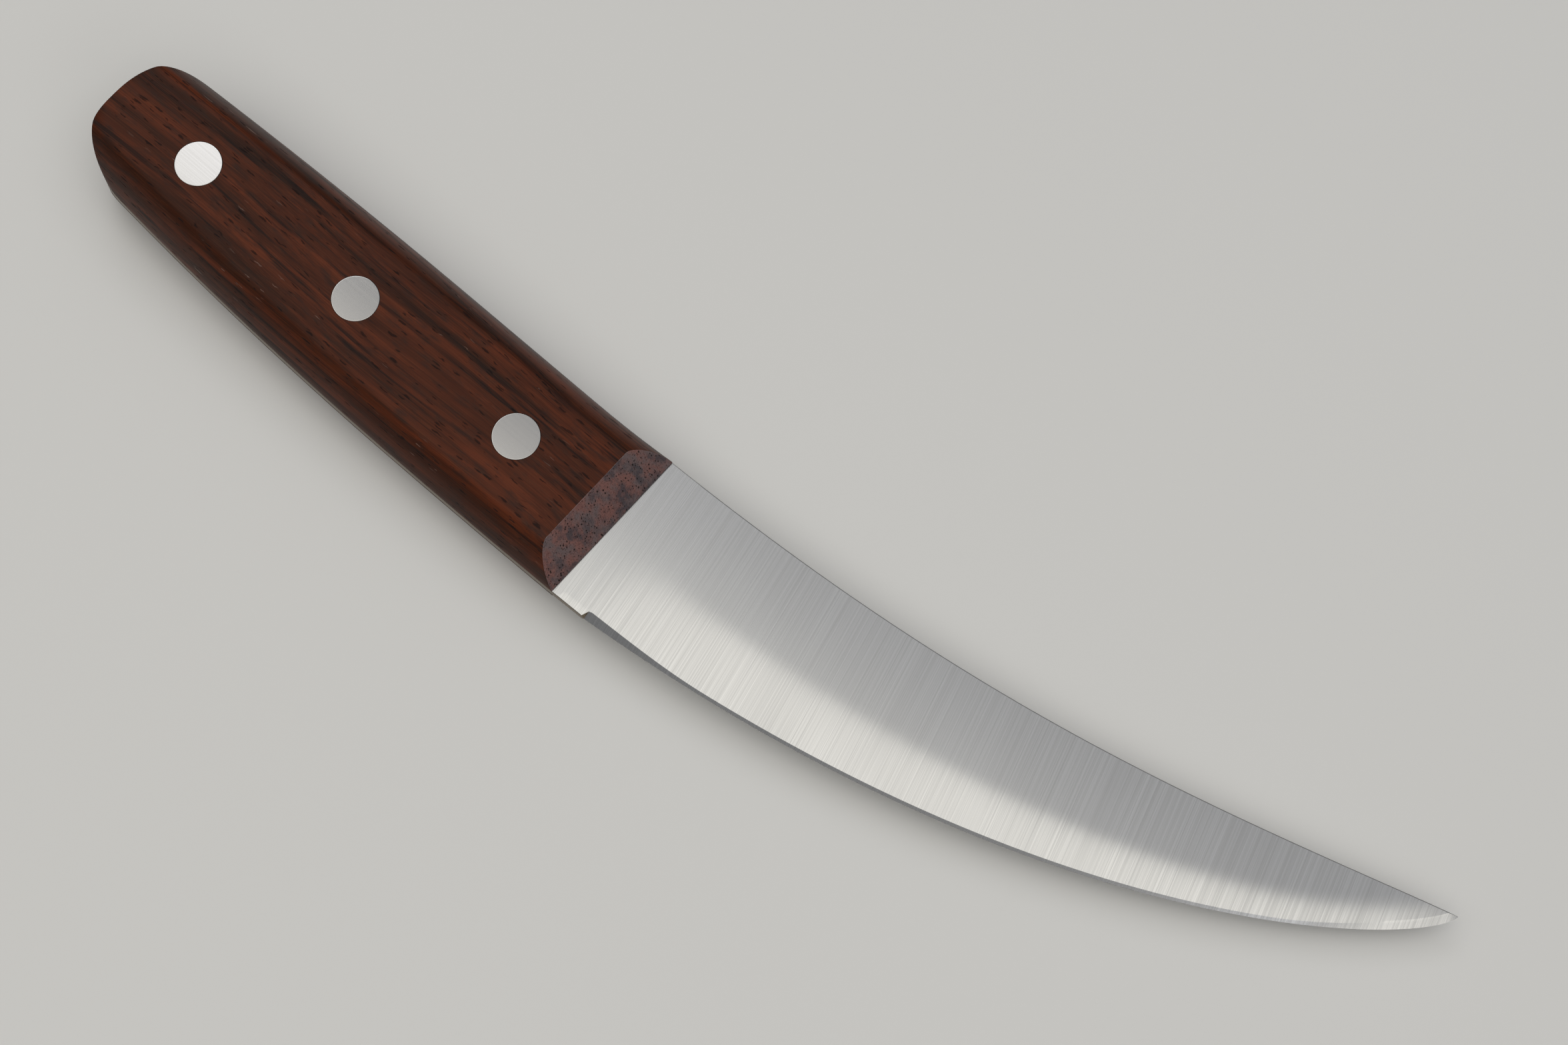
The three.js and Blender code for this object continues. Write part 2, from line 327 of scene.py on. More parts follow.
def blade_lines():
    """The lower and upper ends of the lines across the tang and the blade, from the butt to the
    point."""
    spine = handle_side(spine_side, BUTT_SQUARENESS_SPINE, TANG_LINES)[::-1]
    edge = handle_side(edge_side, BUTT_SQUARENESS_EDGE, 4 * TANG_LINES)[::-1]
    x = spine[2:-1, 0]
    tops = [np.stack([x, spine[2:-1, 1]], 1)]
    bottoms = [np.stack([x, np.interp(x, edge[:, 0], edge[:, 1])], 1)]
    spine_length = arc_lengths(bezier(SPINE_CURVE, np.linspace(0, 1, 1500)))[-1]
    choil = 1 - (1 - np.linspace(0, 1, CHOIL_LINES)[:-1]) ** 2
    bottom = lerp(np.array(CHOIL_START), np.array(HEEL), choil[:, None])
    bottoms.append(bottom)
    tops.append(along(SPINE_CURVE, bottom[:, 0] / spine_length))
    run = np.linspace(0, 1, BLADE_LINES) ** HEEL_CROWDING
    share = LAST_SHARE * (1 - (1 - run) ** POINT_CROWDING)
    bottoms.append(along(EDGE_CURVE, share))
    tops.append(along(SPINE_CURVE, lerp(HEEL[0] / spine_length, 1, share)))
    return np.concatenate(bottoms), np.concatenate(tops)


def blade_section(bottom, top):
    """The (height, half thickness) pairs up one line of the blade, from the edge to the spine.
    Where ground is 0 the lower rim is blunt with eased corners, and where it is 1 it is sharp."""
    depth = float(np.linalg.norm(top - bottom))
    x = bottom[0]
    started = np.clip((x - HEEL[0]) / BEVEL_RUN_IN, 0, 1)
    ground = math.sqrt(1 - (1 - started) ** 2)
    sweep = smoothstep(x, POINT[0] * BEVEL_SWEEP_FROM, POINT[0]) * BEVEL_SWEEP
    full = float(behind_edge(x)) if x > 0 else HALF_STEEL
    whole_bevel = full * BEVEL_SLOPE + float(sweep)
    rise = (full - EDGE_HALF) / whole_bevel
    bevel = min(whole_bevel, depth * BEVEL_MOST)
    full = lerp(full, EDGE_HALF + bevel * rise, ground)
    bevel *= ground
    rows = []
    eased = min(EASED_EDGE, depth * 0.2)
    for i in range(BOTTOM_ROWS):
        share = i / (BOTTOM_ROWS - 1)
        turn = share * math.pi / 2
        blunt = (eased * (1 - math.cos(turn)), full - eased * (1 - math.sin(turn)))
        sharp = (bevel * share, lerp(EDGE_HALF, full, share))
        rows.append((lerp(blunt[0], sharp[0], ground), lerp(blunt[1], sharp[1], ground)))
    start = rows[-1][0]
    direction = (top - bottom) / depth
    rounding = min(EASED_EDGE, 0.15 * depth, 0.5 * full)
    for i in range(1, CHEEK_ROWS + 1):
        height = lerp(start, depth - rounding, i / CHEEK_ROWS)
        px = bottom[0] + direction[0] * height
        half = float(cheek(px, height - bevel)) if px > 0 else HALF_STEEL
        if ground == 1:
            half = min(half, EDGE_HALF + height * rise)
        rows.append((height, half))
    half = rows[-1][1]
    for i in range(1, TOP_ROWS):
        turn = i / (TOP_ROWS - 1) * math.pi / 2
        height = depth - rounding * (1 - math.sin(turn))
        rows.append((height, half - rounding * (1 - math.cos(turn))))
    return rows


def blade_shape():
    """A ring of points round each line of the blade, joined to the next ring.
    Known fault: the rings' faces point into the steel, and only the two ends' point out."""
    bottoms, tops = blade_lines()
    points = []
    for bottom, top in zip(bottoms, tops):
        direction = (top - bottom) / np.linalg.norm(top - bottom)
        rows = blade_section(bottom, top)
        upper = [(*(bottom + direction * height), half) for height, half in rows]
        points += upper + [(x, y, -z) for x, y, z in reversed(upper)]
    count = 2 * len(rows)
    faces = rings_of_faces(count, len(bottoms), True)
    last = count * (len(bottoms) - 1)
    faces.append(tuple(range(count)))
    faces.append(tuple(last + i for i in reversed(range(count))))
    return np.array(points), faces


def through_hole(x, radius):
    """The shape of a plain hole on a rivet's axis, longer than the steel is thick."""
    reach = 5.0
    return turned(x, [(0, -reach), (radius, -reach), (radius, reach), (0, reach)])


def blade_piece():
    """The blade and tang with the rivets' holes.
    Known fault: as the faces point into the steel, the cuts leave the holes without walls."""
    piece = new_piece("blade_and_full_tang", *blade_shape())
    for x in rivet_places():
        cut_away(piece, new_piece("cutter", *through_hole(x, BARREL_RADIUS + RIVET_GAP)))
    return piece


# Scales ----------------------------------------------------------------------------------

SIDE_POINTS = 170
WALL_ROWS = 5
SHOULDER_ROWS = 16
# How far behind the blade the columns lean with the chamfer, and how often a column's place is
# worked out again there, because the face's height depends on it.
LEANING_LENGTH = 20.0
LEANING_ROUNDS = 5
SCALE_ROUNDING = 0.18
ROUNDED_FROM = 40.0


def shoulder(height):
    """(distance from the side, height) pairs over a shoulder, dense, with its rounded crease."""
    corner = np.array([SHOULDER_WIDTH, height])
    control = np.array([SHOULDER_WIDTH * SHOULDER_PULL[0], height * SHOULDER_PULL[1]])
    rise = bezier((np.array([0, CHAMFER_FOOT]), control, corner), np.linspace(0, 0.88, 60))
    crease = (rise[-1], corner, corner + np.array([SHOULDER_CREASE, 0]))
    return np.concatenate([rise, bezier(crease, np.linspace(0, 1, 20)[1:])])


def scale_column(height, deep):
    """(inset, height) pairs up the scale's sawn wall and over its shoulder, where the outline
    is so deep inside the line of the side."""
    line = shoulder(height)
    length = arc_lengths(line)
    deep = min(deep, line[-1, 0])
    start = np.interp(deep, line[:, 0], length)
    # The rows crowd together over the crease.
    places = start + (length[-1] - start) * np.linspace(0, 1, SHOULDER_ROWS) ** 0.8
    over = np.stack([np.interp(places, length, line[:, i]) for i in range(2)], 1)
    over[:, 0] -= deep
    wall = np.stack([np.zeros(WALL_ROWS), np.linspace(CHAMFER_FOOT, over[0, 1], WALL_ROWS)], 1)
    return np.concatenate([[[0, SCALE_INNER]], wall, over[1:]])


def scale_outline():
    spine = handle_side(spine_side, BUTT_SQUARENESS_SPINE, SIDE_POINTS)
    edge = handle_side(edge_side, BUTT_SQUARENESS_EDGE, SIDE_POINTS)[::-1]
    return np.concatenate([spine, edge[1:]])


def scale_shape():
    """A column of points for each point of the sawn outline: up the wall and over the shoulder
    to the crease, leaning back to the chamfer near the blade."""
    outline = scale_outline()
    face = outer_face(-CHAMFER_RUN)
    slope = CHAMFER_RUN / (face - CHAMFER_FOOT)
    rows = WALL_ROWS + SHOULDER_ROWS
    columns = []
    for x0, y0 in outline:
        side, inwards = (spine_side, -1) if y0 > 0 else (edge_side, 1)
        deep = abs(side(x0) - y0)
        leaning = max(0.0, 1 + x0 / LEANING_LENGTH)
        column = []
        for row in range(rows):
            px = x0
            for _ in range(LEANING_ROUNDS if leaning > 0 else 1):
                inset, z = scale_column(outer_face(px), deep)[row]
                px = x0 - max(z - CHAMFER_FOOT, 0) * slope * leaning
            column.append((px, y0 + inwards * inset + side(px) - side(x0), z))
        columns.append(column)
    count = len(outline)
    points = np.array(columns).transpose(1, 0, 2).reshape(-1, 3)
    faces = rings_of_faces(count, rows, False)
    last = count * (rows - 1)
    faces.append(tuple(reversed(range(count))))
    faces.append(tuple(last + i for i in range(count)))
    spine_end = [row * count for row in range(rows)]
    edge_end = [row * count + count - 1 for row in range(rows)]
    faces.append((spine_end[0], spine_end[1], edge_end[1], edge_end[0]))
    faces.append(tuple(spine_end[1:] + edge_end[:0:-1]))
    return points, faces


def rivet_places():
    return [-RIVET_FRONT - i * RIVET_PITCH for i in range(len(RIVET_NAMES))]


def head_underside(x):
    return outer_face(x + HEAD_RADIUS) - HEAD_DEPTH


def rivet_hole(x):
    """The stepped hole in the upper scale for a rivet's head and barrel."""
    reach = 20.0
    head = HEAD_RADIUS + RIVET_GAP
    barrel = BARREL_RADIUS + RIVET_GAP
    shelf = head_underside(x) - RIVET_GAP
    profile = [(0, -reach), (barrel, -reach), (barrel, shelf), (head, shelf), (head, reach)]
    return turned(x, profile + [(0, reach)])


def scale_piece(name, upper):
    points, faces = scale_shape()
    if not upper:
        points, faces = mirrored(points, faces)
    piece = new_piece(name, points, faces)
    merge_doubles(piece)
    round_edges(piece, SCALE_ROUNDING, ROUNDED_FROM)
    keep_under_face(piece)
    for x in rivet_places():
        hole = rivet_hole(x)
        cut_away(piece, new_piece("cutter", *(hole if upper else mirrored(*hole))))
    return piece


# Rivets ----------------------------------------------------------------------------------


def head_profile(x):
    """The rows of a rivet head from its rounded rim to the middle of its filed top."""
    rim = HEAD_RIM
    rows = []
    for turn in np.linspace(0, math.pi / 2, 4):
        radius = HEAD_RADIUS - rim * (1 - math.cos(turn))
        drop = rim * (1 - math.sin(turn))
        rows.append((radius, lambda px, drop=drop: outer_face(px) - drop))
    inner = (HEAD_RADIUS - 2 * rim, 0.6 * HEAD_RADIUS, 0.2 * HEAD_RADIUS)
    rows += [(radius, outer_face) for radius in inner]
    return rows + [(0, outer_face)]


def rivet_barrel(x):
    """The hollow half: its head is in one scale and its barrel reaches into the other."""
    shelf = head_underside(x)
    bore = PIN_RADIUS + RIVET_GAP
    end = RIVET_GAP - shelf
    rows = [(0, shelf), (bore, shelf), (bore, end), (BARREL_RADIUS, end), (BARREL_RADIUS, shelf)]
    return turned(x, rows + [(HEAD_RADIUS, shelf)] + head_profile(x))


def rivet_pin(x):
    """The solid half, with its head up: its pin fills the other one's bore."""
    shelf = head_underside(x)
    end = PIN_SHORTER - shelf
    rows = [(0, end), (PIN_RADIUS, end), (PIN_RADIUS, shelf), (HEAD_RADIUS, shelf)]
    return turned(x, rows + head_profile(x))


# Materials -------------------------------------------------------------------------------


class Nodes:
    """A short way to write a material's nodes."""

    def __init__(self, name):
        self.material = bpy.data.materials.new(name)
        self.material.use_nodes = True
        self.tree = self.material.node_tree
        self.shader = self.tree.nodes["Principled BSDF"]

    def add(self, kind, values=None, **settings):
        node = self.tree.nodes.new("ShaderNode" + kind)
        for key, value in settings.items():
            setattr(node, key, value)
        for key, value in (values or {}).items():
            self.put(node.inputs[key], value)
        return node

    def put(self, socket, value):
        if isinstance(value, bpy.types.NodeSocket):
            self.tree.links.new(value, socket)
        else:
            socket.default_value = value

    def math(self, operation, a, b=None, clamp=False):
        node = self.add("Math", operation=operation, use_clamp=clamp)
        self.put(node.inputs[0], a)
        if b is not None:
            self.put(node.inputs[1], b)
        return node.outputs[0]

    def stretched(self, vector, scale, offset=(0, 0, 0)):
        return self.add("Mapping", {"Vector": vector, "Scale": scale, "Location": offset}).outputs[0]

    def noise(self, vector, scale=1.0, detail=2.0, roughness=0.5):
        values = {"Vector": vector, "Scale": scale, "Detail": detail, "Roughness": roughness}
        return self.add("TexNoise", values).outputs["Fac"]

    def range(self, value, low, high, to_low=0.0, to_high=1.0):
        values = {"Value": value, "From Min": low, "From Max": high}
        values.update({"To Min": to_low, "To Max": to_high})
        return self.add("MapRange", values).outputs["Result"]

    def blend(self, factor, a, b, mode="MIX"):
        node = self.add("Mix", data_type="RGBA", blend_type=mode)
        self.put(node.inputs["Factor"], factor)
        colours = [s for s in node.inputs if s.type == "RGBA"]
        self.put(colours[0], a)
        self.put(colours[1], b)
        return [s for s in node.outputs if s.type == "RGBA"][0]

    def bump(self, height, distance, strength=1.0, normal=None):
        values = {"Height": height, "Distance": distance, "Strength": strength}
        if normal is not None:
            values["Normal"] = normal
        return self.add("Bump", values).outputs["Normal"]

    def finish(self, **values):
        for key, value in values.items():
            self.put(self.shader.inputs[key.replace("_", " ")], value)
        return self.material


def grey(value, warmth=0.0):
    return (value * (1 + warmth), value, value * (1 - warmth), 1.0)


def brushed_steel(name, dark, light, roughness, hair_width, anisotropic, relief):
    """Steel with lines along the second axis of the piece's brush attribute, in millimetres.
    relief is the depth of the lines in metres."""
    n = Nodes(name)
    brush = n.add("Attribute", attribute_name="brush").outputs["Vector"]
    tangent = n.add("Attribute", attribute_name="brush_across").outputs["Vector"]
    hair = n.noise(n.stretched(brush, (1 / hair_width, 0.02, 1.0)), detail=1.0)
    line = n.noise(n.stretched(brush, (0.35 / hair_width, 0.02, 1.0), (4.0, 1.0, 0.0)), detail=3.0)
    band = n.noise(n.stretched(brush, (0.9, 0.008, 1.0)), detail=2.0)
    cloud = n.noise(n.stretched(brush, (0.06, 0.05, 1.0)), detail=2.0)
    mix = n.math("ADD", n.math("MULTIPLY", hair, 0.40), n.math("MULTIPLY", line, 0.50))
    lines = n.math("ADD", mix, n.math("MULTIPLY", band, 0.10))
    lines = n.math("ADD", lines, n.range(cloud, 0.2, 0.8, -0.04, 0.04))
    lines = n.range(lines, 0.38, 0.62)
    colour = n.blend(lines, dark, light)
    rough = n.range(lines, 0, 1, roughness + 0.02, roughness - 0.02)
    return n.finish(Base_Color=colour, Metallic=1.0, Roughness=rough, Normal=n.bump(hair, relief, 0.5),
                    Anisotropic=anisotropic, Tangent=tangent)


def ground_steel(name, dark, light, roughness, scale):
    """Steel with dense fine lines; scale says how the noise is stretched, per millimetre."""
    n = Nodes(name)
    brush = n.add("Attribute", attribute_name="brush").outputs["Vector"]
    hair = n.noise(n.stretched(brush, scale), detail=4.0, roughness=0.7)
    wide = n.noise(n.stretched(brush, tuple(0.2 * value for value in scale)), detail=2.0)
    lines = n.math("ADD", n.math("MULTIPLY", hair, 0.6), n.math("MULTIPLY", wide, 0.4))
    colour = n.blend(n.range(lines, 0.32, 0.68), dark, light)
    rough = n.range(hair, 0.2, 0.8, roughness + 0.08, roughness - 0.08)
    return n.finish(Base_Color=colour, Metallic=1.0, Roughness=rough, Normal=n.bump(hair, 2e-6, 0.6))


def shifted(n, place, offset):
    """The same place in another part of the log, for a pattern of its own."""
    return n.stretched(place, (1, 1, 1), offset)


def pores(n, place, scale, least, most, dimensions="3D"):
    """A mask of pores: one to each Voronoi cell, some wide and some too narrow to show."""
    values = {"Vector": n.stretched(place, scale), "Scale": 1.0}
    cells = n.add("TexVoronoi", values, voronoi_dimensions=dimensions)
    chance = n.add("SeparateColor", {"Color": cells.outputs["Color"]}).outputs["Red"]
    reach = n.range(chance, 0, 1, least, most)
    return n.range(n.math("SUBTRACT", reach, cells.outputs["Distance"]), 0.0, 0.08)


def grain_place(n, offset):
    """Where a point is in the log, in millimetres: x along the grain, which wanders slowly."""
    place = n.add("TexCoord").outputs["Object"]
    place = n.stretched(place, (1000.0, 1000.0, 1000.0), offset)
    wander = n.noise(n.stretched(place, (0.012, 0.05, 0.05)), detail=1.0)
    sideways, upwards = n.range(wander, 0, 1, -3.0, 3.0), n.range(wander, 0, 1, 2.0, -2.0)
    shift = n.add("CombineXYZ", {"Y": sideways, "Z": upwards}).outputs[0]
    return n.add("VectorMath", {0: place, 1: shift}, operation="ADD").outputs[0]


def rippled(n, place):
    """The grain's small ripples round the pores."""
    ripple = n.noise(n.stretched(place, (0.6, 2.0, 2.0)), detail=2.0)
    shift = n.add("CombineXYZ", {"Y": n.range(ripple, 0, 1, -0.35, 0.35)}).outputs[0]
    return n.add("VectorMath", {0: place, 1: shift}, operation="ADD").outputs[0]


def rosewood(name, offset):
    n = Nodes(name)
    place = grain_place(n, offset)
    figure = n.noise(n.stretched(place, (0.006, 0.22, 0.22)), detail=2.0, roughness=0.6)
    streak = n.noise(n.stretched(place, (0.012, 0.8, 0.8), (3.0, 1.0, 2.0)), detail=3.0, roughness=0.6)
    ember = n.noise(n.stretched(place, (0.02, 0.45, 0.45), (9.0, 4.0, 5.0)), detail=4.0, roughness=0.6)
    mottle = n.noise(n.stretched(place, (0.2, 0.7, 0.7), (2.0, 8.0, 1.0)), detail=3.0, roughness=0.6)
    fibre = n.noise(n.stretched(place, (0.05, 4.5, 4.5)), detail=2.0, roughness=0.7)
    cluster = n.noise(n.stretched(place, (0.05, 0.3, 0.3), (6.0, 6.0, 6.0)), detail=2.0)
    wood = n.blend(n.range(figure, 0.38, 0.62), (0.038, 0.0120, 0.006, 1), (0.072, 0.0185, 0.008, 1))
    wood = n.blend(n.range(ember, 0.46, 0.68, 0.0, 0.8), wood, (0.140, 0.032, 0.012, 1))
    wood = n.blend(n.range(mottle, 0.50, 0.70, 0.0, 0.6), wood, (0.026, 0.016, 0.013, 1))
    wood = n.blend(n.range(streak, 0.52, 0.66, 0.0, 0.82), wood, (0.011, 0.0070, 0.0065, 1))
    wood = n.blend(n.range(fibre, 0.50, 0.30, 0.0, 0.30), wood, (0.012, 0.006, 0.004, 1))
    wood = n.blend(n.range(fibre, 0.52, 0.75, 0.0, 0.22), wood, (0.150, 0.055, 0.026, 1))
    bent = rippled(n, place)
    open_pores = n.math(
        "MAXIMUM",
        pores(n, bent, (0.30, 1.7, 1.7), -0.14, 0.34),
        pores(n, shifted(n, bent, (31.0, 17.3, 5.7)), (0.26, 2.4, 2.4), -0.20, 0.34),
    )
    filled = pores(n, shifted(n, bent, (11.0, 3.1, 8.9)), (0.22, 3.0, 3.0), -0.50, 0.32)
    filled = n.math("MULTIPLY", filled, n.range(cluster, 0.54, 0.66, 0.0, 0.6))
    colour = n.blend(n.math("MULTIPLY", open_pores, 0.7), wood, (0.008, 0.005, 0.005, 1))
    colour = n.blend(filled, colour, (0.26, 0.17, 0.14, 1))
    rough = n.math("ADD", n.range(streak, 0.3, 0.7, 0.36, 0.46), n.math("MULTIPLY", open_pores, 0.2))
    height = n.math("SUBTRACT", n.math("MULTIPLY", fibre, 0.25), open_pores)
    return n.finish(Base_Color=colour, Roughness=rough, Normal=n.bump(height, 4e-5, 0.5),
                    Specular_IOR_Level=0.11)


def end_grain(name, offset, tone):
    """Rosewood cut across the grain: duller, with round pores, and greyer, partly its own tone and
    partly a painted reflection of the sky. tone darkens it.
    """
    n = Nodes(name)
    place = grain_place(n, offset)
    split = n.add("SeparateXYZ", {0: place})
    across = n.add("CombineXYZ", {"X": split.outputs["Y"], "Y": split.outputs["Z"]}).outputs[0]
    patch = n.noise(n.stretched(place, (0.03, 0.32, 0.32)), detail=3.0, roughness=0.6)
    cloud = n.noise(n.stretched(place, (0.03, 0.45, 0.45), (5.0, 2.0, 8.0)), detail=4.0, roughness=0.6)
    speckle = n.noise(n.stretched(place, (1.0, 5.0, 5.0)), detail=3.0, roughness=0.7)
    greyish = tuple(tone * value for value in (0.170, 0.122, 0.122)) + (1,)
    reddish = tuple(tone * value for value in (0.235, 0.112, 0.098)) + (1,)
    # A purplish slate grey: painted reflection of the sky on the end grain.
    painted_sky_slate = tuple(tone * value for value in (0.066, 0.060, 0.070)) + (1,)
    dark = tuple(tone * value for value in (0.045, 0.022, 0.020)) + (1,)
    wood = n.blend(n.range(patch, 0.42, 0.58), greyish, reddish)
    wood = n.blend(n.range(cloud, 0.48, 0.64, 0.0, 0.85), wood, painted_sky_slate)
    wood = n.blend(n.range(speckle, 0.48, 0.70, 0.0, 0.75), wood, dark)
    round_pores = n.math(
        "MAXIMUM",
        pores(n, across, (1.15, 1.15, 1.0), -0.10, 0.24, "2D"),
        pores(n, shifted(n, across, (31.0, 17.3, 5.7)), (1.7, 1.7, 1.0), -0.20, 0.27, "2D"),
    )
    red_pores = pores(n, shifted(n, across, (3.7, 12.1, 0.0)), (1.4, 1.4, 1.0), -0.15, 0.22, "2D")
    colour = n.blend(n.math("MULTIPLY", red_pores, 0.7), wood, (0.050, 0.012, 0.009, 1))
    colour = n.blend(n.math("MULTIPLY", round_pores, 0.92), colour, (0.010, 0.004, 0.003, 1))
    height = n.math("SUBTRACT", n.math("MULTIPLY", speckle, 0.2), round_pores)
    return n.finish(Base_Color=colour, Roughness=n.range(cloud, 0.3, 0.7, 0.62, 0.50),
                    Normal=n.bump(height, 6e-5, 0.5), Specular_IOR_Level=0.3)


def rim_highlight_rosewood(name, offset):
    """The edge round the end grain, painted lighter: a painted highlight along its rounded rim."""
    n = Nodes(name)
    place = grain_place(n, offset)
    patch = n.noise(n.stretched(place, (0.6, 0.9, 0.9)), detail=3.0)
    colour = n.blend(n.range(patch, 0.38, 0.62), (0.13, 0.090, 0.083, 1), (0.34, 0.27, 0.26, 1))
    return n.finish(Base_Color=colour, Roughness=n.range(patch, 0.3, 0.7, 0.35, 0.5))


def pale_floor():
    n = Nodes("pale_floor")
    return n.finish(Base_Color=(0.80, 0.795, 0.78, 1), Roughness=0.85)


# Finish of each piece --------------------------------------------------------------------

# How many degrees the brush lines lean from upright, as (x, angle) pairs along the knife.
BRUSH_LEAN = ((-120.0, 0.0), (0.0, 7.0), (70.0, 16.0), (145.0, 18.0))


def blade_middle(x):
    """How high the middle of the blade is at x."""
    share = np.linspace(0, 1, 200)
    middle = (along(SPINE_CURVE, share) + along(EDGE_CURVE, share)) / 2
    return np.interp(x, middle[:, 0], middle[:, 1])


def brush_coordinates(points):
    """Where each point is along the blade and across it, measured along the brush lines."""
    lean_x, lean = np.array(BRUSH_LEAN).T
    u = points[:, 0].copy()
    for _ in range(6):
        slant = np.tan(np.radians(np.interp(u, lean_x, lean)))
        u = points[:, 0] + (points[:, 1] - blade_middle(u)) * slant
    return np.stack([u, points[:, 1], np.sign(points[:, 2]) * 30.0], 1)


def knife_points(piece):
    co = np.zeros(len(piece.data.vertices) * 3)
    piece.data.vertices.foreach_get("co", co)
    return co.reshape(-1, 3)


def brush_across(points):
    """The direction across the brush lines at each point, in the part's frame."""
    lean_x, lean = np.array(BRUSH_LEAN).T
    turn = np.radians(np.interp(points[:, 0], lean_x, lean))
    across = np.stack([np.cos(turn), np.sin(turn), np.zeros(len(points))], 1)
    return across @ np.array(KNIFE.to_3x3().normalized()).T


def set_attribute(piece, name, values):
    """Stores a vector at each of the piece's points, for its material to read."""
    attribute = piece.data.attributes.new(name, "FLOAT_VECTOR", "POINT")
    attribute.data.foreach_set("vector", np.ascontiguousarray(values, dtype=np.float32).ravel())


def settle(piece, materials, slot, *nodes, sharp=30.0, choose=None):
    piece.data.materials.clear()
    for material in materials:
        piece.data.materials.append(material)
    for face in piece.data.polygons:
        face.use_smooth = True
        face.material_index = choose(face.center, face.normal) if choose else 0
    piece.data.set_sharp_from_angle(angle=math.radians(sharp))
    piece.data.transform(KNIFE)
    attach(piece, "root")
    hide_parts(*nodes)


def blade_face(middle, normal):
    """Which steel a face has: 0 the cheek's, 1 the bevel's, 2 the spine's. The choil and the
    tang's rim have 2. Known fault: this was meant for faces that point outwards, so in front of
    the handle nearly all of the bevel has 0, the spine has 1 and the cutting edge has 2."""
    rim_below, cheek_above = 0.6, 0.985
    level = abs(normal.z)
    if level < rim_below and not (middle.x > HEEL[0] and normal.y < 0):
        return 2
    down_or_forward = normal.y < 0 or normal.x > 0.1
    return 1 if middle.x > HEEL[0] - 0.2 and level < cheek_above and down_or_forward else 0


def scale_face(middle, normal):
    """0 is along the grain, 1 the chamfer, 2 its rim with the painted highlight, 3 the butt."""
    if middle.x > -CHAMFER_RUN - 1.5 and normal.x > 0.15:
        return 1 if normal.x > 0.55 else 2
    return 3 if normal.x < -0.75 else 0


def make_blade():
    steel = brushed_steel("brushed_blade_steel", grey(0.52), grey(0.675), 0.20, 0.085, 0.7, 3e-7)
    bevel = ground_steel("bevel_steel", grey(0.26), grey(0.42), 0.30, (9.0, 0.8, 1.0))
    # The spine and rim steel is painted darker and warmer than the blade's: painted shade along the
    # tang's rim.
    dark, light = (0.15, 0.12, 0.085, 1), (0.27, 0.225, 0.17, 1)
    rim = ground_steel("spine_steel_painted_shade", dark, light, 0.38, (0.12, 7.0, 7.0))
    blade = blade_piece()
    spots = knife_points(blade)
    set_attribute(blade, "brush", brush_coordinates(spots))
    set_attribute(blade, "brush_across", brush_across(spots))
    settle(blade, [steel, bevel, rim], "blade_steel", "blade_and_tang", sharp=9.0, choose=blade_face)


def make_scales():
    for side, offset in (("upper", (0.0, 0.0, 0.0)), ("lower", (40.0, 9.0, 3.0))):
        materials = [
            rosewood(f"{side}_rosewood", offset),
            end_grain(f"{side}_end_grain", offset, 1.0),
            # The chamfer's rim is painted lighter: a painted highlight.
            rim_highlight_rosewood(f"{side}_painted_highlight_edge", offset),
            end_grain(f"{side}_butt_grain", offset, 0.45),
        ]
        scale = scale_piece(f"{side}_rosewood_scale", side == "upper")
        settle(scale, materials, "rosewood", f"{side}_scale", choose=scale_face)


def make_rivets():
    dark, light = grey(0.50, 0.02), grey(0.53, 0.02)
    steel = brushed_steel("brushed_rivet_steel", dark, light, 0.11, 0.085, 0.3, 1e-7)
    for place, x in zip(RIVET_NAMES, rivet_places()):
        barrel = new_piece(f"{place}_barrel_half", *rivet_barrel(x))
        pin = new_piece(f"{place}_pin_half", *mirrored(*rivet_pin(x)))
        for piece, node in ((barrel, f"{place}_rivet_barrel"), (pin, f"{place}_rivet_pin")):
            spots = knife_points(piece)
            set_attribute(piece, "brush", spots[:, [1, 0, 2]])
            set_attribute(piece, "brush_across", np.tile([0.0, 1.0, 0.0], (len(spots), 1)))
            settle(piece, [steel], "rivet_steel", node)


# Floor, lights and camera ----------------------------------------------------------------


def make_floor():
    """A plain floor just under the knife, so that the two faces don't fall together."""
    half, below = 3.0, 0.0002
    corners = [(-half, -half, 0), (half, -half, 0), (half, half, 0), (-half, half, 0)]
    mesh = bpy.data.meshes.new("floor")
    mesh.from_pydata(corners, [], [(0, 1, 2, 3)])
    floor = bpy.data.objects.new("floor", mesh)
    bpy.context.scene.collection.objects.link(floor)
    mesh.materials.append(pale_floor())
    floor.location.z = -below


def softbox(name, middle, size, radiance, colour=(1, 1, 1), turn=0.0, reflected=True):
    """A rectangular light that faces straight down, turned about its own middle in degrees.
    One that isn't reflected lights the scene without showing in the steel."""
    light = bpy.data.lights.new(name, "AREA")
    light.shape = "RECTANGLE"
    light.size, light.size_y = size
    light.energy = radiance * math.pi * size[0] * size[1]
    light.color = colour
    lamp = bpy.data.objects.new(name, light)
    bpy.context.scene.collection.objects.link(lamp)
    lamp.location = middle
    lamp.rotation_euler.z = math.radians(turn)
    lamp.visible_glossy = reflected


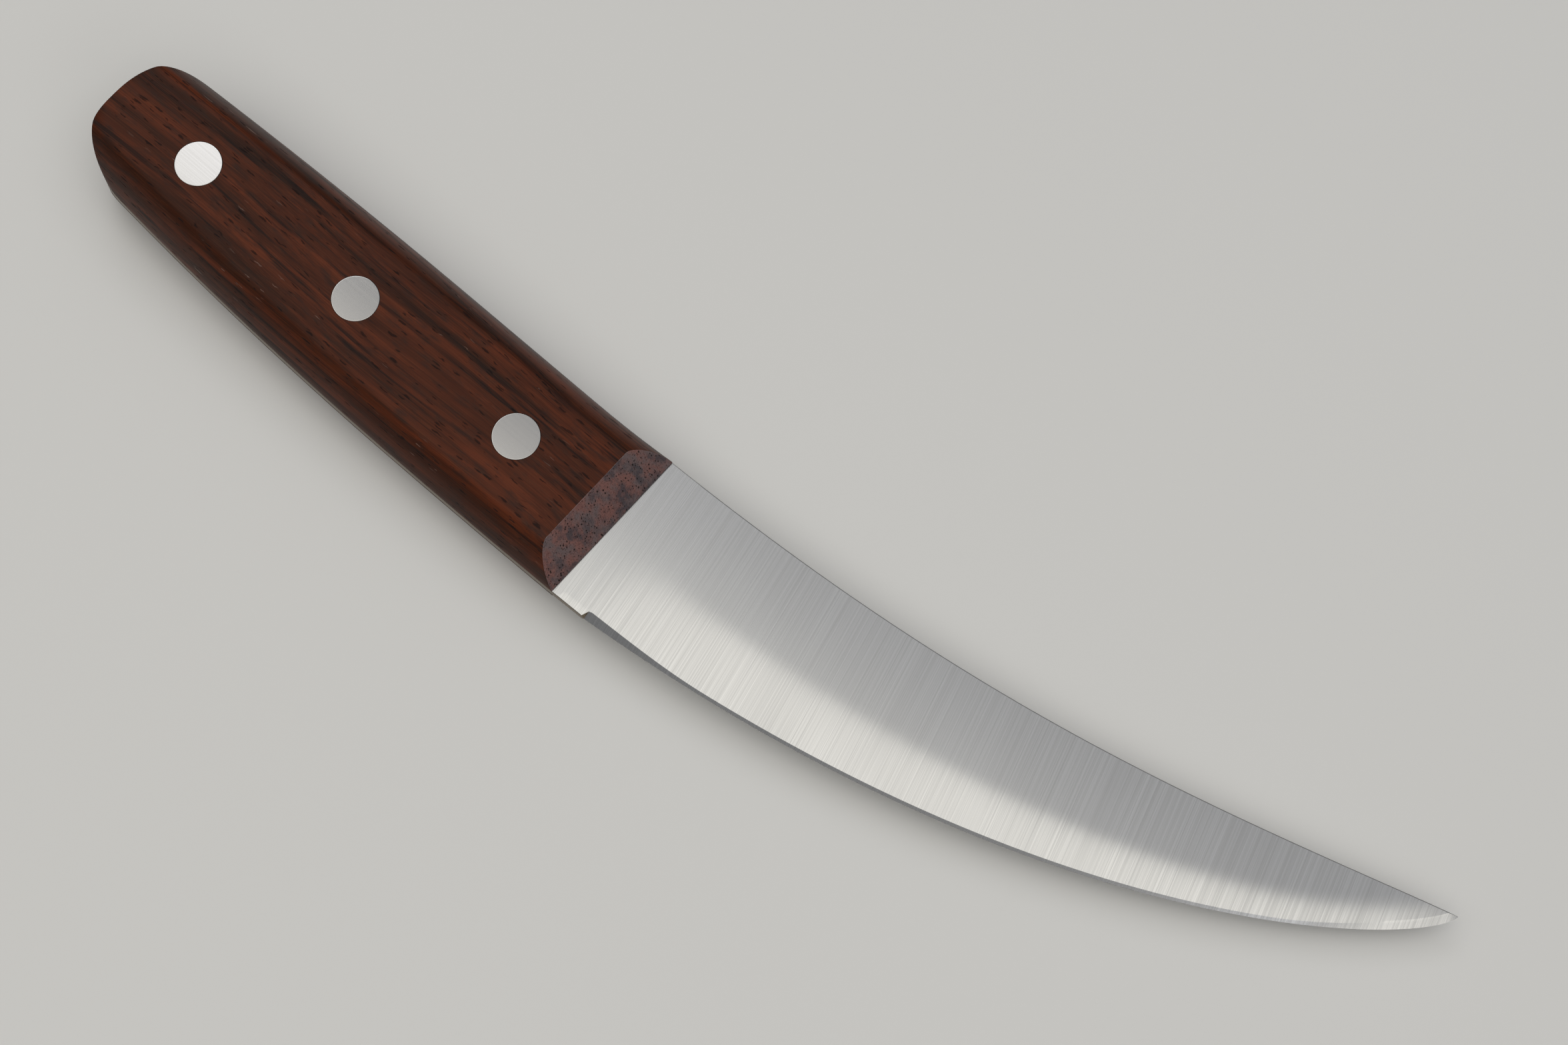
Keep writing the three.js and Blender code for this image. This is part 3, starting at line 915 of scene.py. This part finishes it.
def make_sky():
    """A plain soft sky, dark at the horizon and brighter overhead."""
    world = bpy.data.worlds.new("studio")
    world.use_nodes = True
    nodes, links = world.node_tree.nodes, world.node_tree.links
    background = nodes["Background"]
    direction = nodes.new("ShaderNodeTexCoord")
    split = nodes.new("ShaderNodeSeparateXYZ")
    strength = nodes.new("ShaderNodeMapRange")
    strength.interpolation_type = "SMOOTHSTEP"
    strength.inputs["From Min"].default_value = 0.3
    strength.inputs["From Max"].default_value = 1.0
    strength.inputs["To Min"].default_value = 0.07
    strength.inputs["To Max"].default_value = 0.46
    links.new(direction.outputs["Generated"], split.inputs[0])
    links.new(split.outputs["Z"], strength.inputs["Value"])
    links.new(strength.outputs["Result"], background.inputs["Strength"])
    background.inputs["Color"].default_value = (0.97, 0.98, 1.0, 1)
    bpy.context.scene.world = world


def make_lights():
    make_sky()
    bpy.context.scene.view_settings.view_transform = "Standard"
    warm = (1.0, 0.958, 0.85)
    softbox("key", (-0.15, -0.40, 1.0), (1.5, 1.16), 0.72, warm, 2.0)
    softbox("side", (1.35, -0.5, 1.0), (1.1, 1.2), 0.7)
    softbox("window", (-0.72, 0.45, 1.0), (0.64, 0.7), 1.2)
    softbox("fill", (0.5, 0.3, 1.5), (1.4, 1.4), 0.6, reflected=False)


def make_camera():
    """The camera at the angle from which the knife is shown."""
    lens, sensor = 76.53, 36.0
    middle = (cad_box[0] + cad_box[1]) / 2
    place = Vector((0.12288, -0.12075, 0.52778))
    aim = Vector((0.00269, 0.00818, 0.0))
    right = Vector((0.7512, 0.66001, -0.00984)).normalized()
    back = (place - aim).normalized()
    up = back.cross(right).normalized()
    right = up.cross(back)
    camera_data = bpy.data.cameras.new("camera")
    camera_data.lens = lens
    camera_data.sensor_width = sensor
    camera = bpy.data.objects.new("camera", camera_data)
    bpy.context.scene.collection.objects.link(camera)
    turn = Matrix((right, up, back)).transposed()
    camera.matrix_world = Matrix.Translation(place + Vector((middle.x, middle.y, 0))) @ turn.to_4x4()
    bpy.context.scene.camera = camera


make_camera()
make_floor()
make_lights()
make_blade()
make_scales()
make_rivets()
